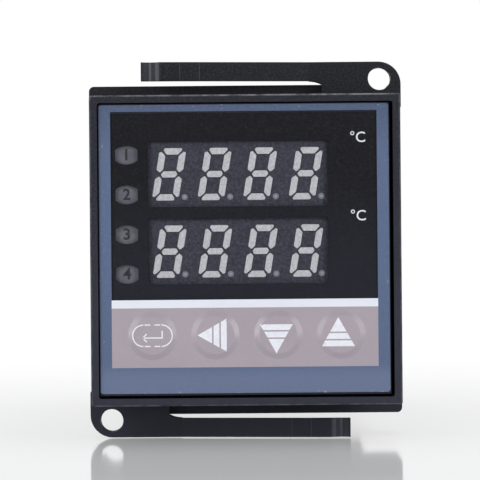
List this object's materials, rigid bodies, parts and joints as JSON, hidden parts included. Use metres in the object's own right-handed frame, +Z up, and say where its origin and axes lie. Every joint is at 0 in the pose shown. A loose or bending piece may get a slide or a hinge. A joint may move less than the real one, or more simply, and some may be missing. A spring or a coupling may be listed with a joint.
{
  "type": "pid temperature controller",
  "caption": "Square panel-mounted temperature controller: twin numeric displays, indicator lamps and membrane keys in front, long case, sprung mounting collar and rear screw terminals.",
  "frame": {"origin": "centre of the front flange's rear face, the plane that seats on the panel", "axes": "+Z up, +X to the right seen from the front, +Y to the rear along the case; the front faces -Y"},
  "size_m": [0.05, 0.1095, 0.0598],
  "materials": {
    "case_plastic": "fine spark-eroded texture",
    "film": "printed polycarbonate",
    "smoked": "smoked acrylic",
    "display_body": "smooth",
    "segments": "cast epoxy",
    "lens": "moulded",
    "led": "clear",
    "switch": "moulded",
    "key": "moulded",
    "board": "solder mask",
    "steel": "laminated",
    "winding": "tape over winding",
    "capacitor": "sleeved can",
    "relay": "moulded",
    "chip": "moulded",
    "brass": "stamped"
  },
  "bodies": {
    "housing": {"case": "case_plastic", "front_panel": "case_plastic", "front_overlay": "film", "display_window": "smoked", "upper_display": "display_body", "upper_segments": "segments", "lower_display": "display_body", "lower_segments": "segments", "indicator_lenses": "lens", "indicator_leds": "led", "key_switches": "switch", "display_board": "board", "power_board": "board", "control_board": "board", "board_headers": "chip", "transformer_core": "steel", "transformer_coil": "winding", "filter_capacitor": "capacitor", "output_relay": "relay", "processor_chip": "chip", "driver_chips": "chip", "voltage_regulator": "chip", "terminal_block": "case_plastic", "terminal_contacts": "brass"},
    "bracket": {"mounting_bracket": "case_plastic"},
    "mode_button": {"mode_key": "key", "mode_key_stem": "switch"},
    "shift_button": {"shift_key": "key", "shift_key_stem": "switch"},
    "down_button": {"down_key": "key", "down_key_stem": "switch"},
    "up_button": {"up_key": "key", "up_key_stem": "switch"}
  },
  "joints": [
    {"name": "bracket_slide", "type": "slide", "parent": "housing", "child": "bracket", "axis": [0, 1, 0], "range_m": [-0.0048, 0.07]},
    {"name": "mode_press", "type": "slide", "parent": "housing", "child": "mode_button", "axis": [0, 1, 0], "range_m": [0, 0.0003], "stiffness_N_per_m": 2000, "springref_m": -0.0004, "deforming": ["front_overlay"]},
    {"name": "shift_press", "type": "slide", "parent": "housing", "child": "shift_button", "axis": [0, 1, 0], "range_m": [0, 0.0003], "stiffness_N_per_m": 2000, "springref_m": -0.0004, "deforming": ["front_overlay"]},
    {"name": "down_press", "type": "slide", "parent": "housing", "child": "down_button", "axis": [0, 1, 0], "range_m": [0, 0.0003], "stiffness_N_per_m": 2000, "springref_m": -0.0004, "deforming": ["front_overlay"]},
    {"name": "up_press", "type": "slide", "parent": "housing", "child": "up_button", "axis": [0, 1, 0], "range_m": [0, 0.0003], "stiffness_N_per_m": 2000, "springref_m": -0.0004, "deforming": ["front_overlay"]}
  ]
}
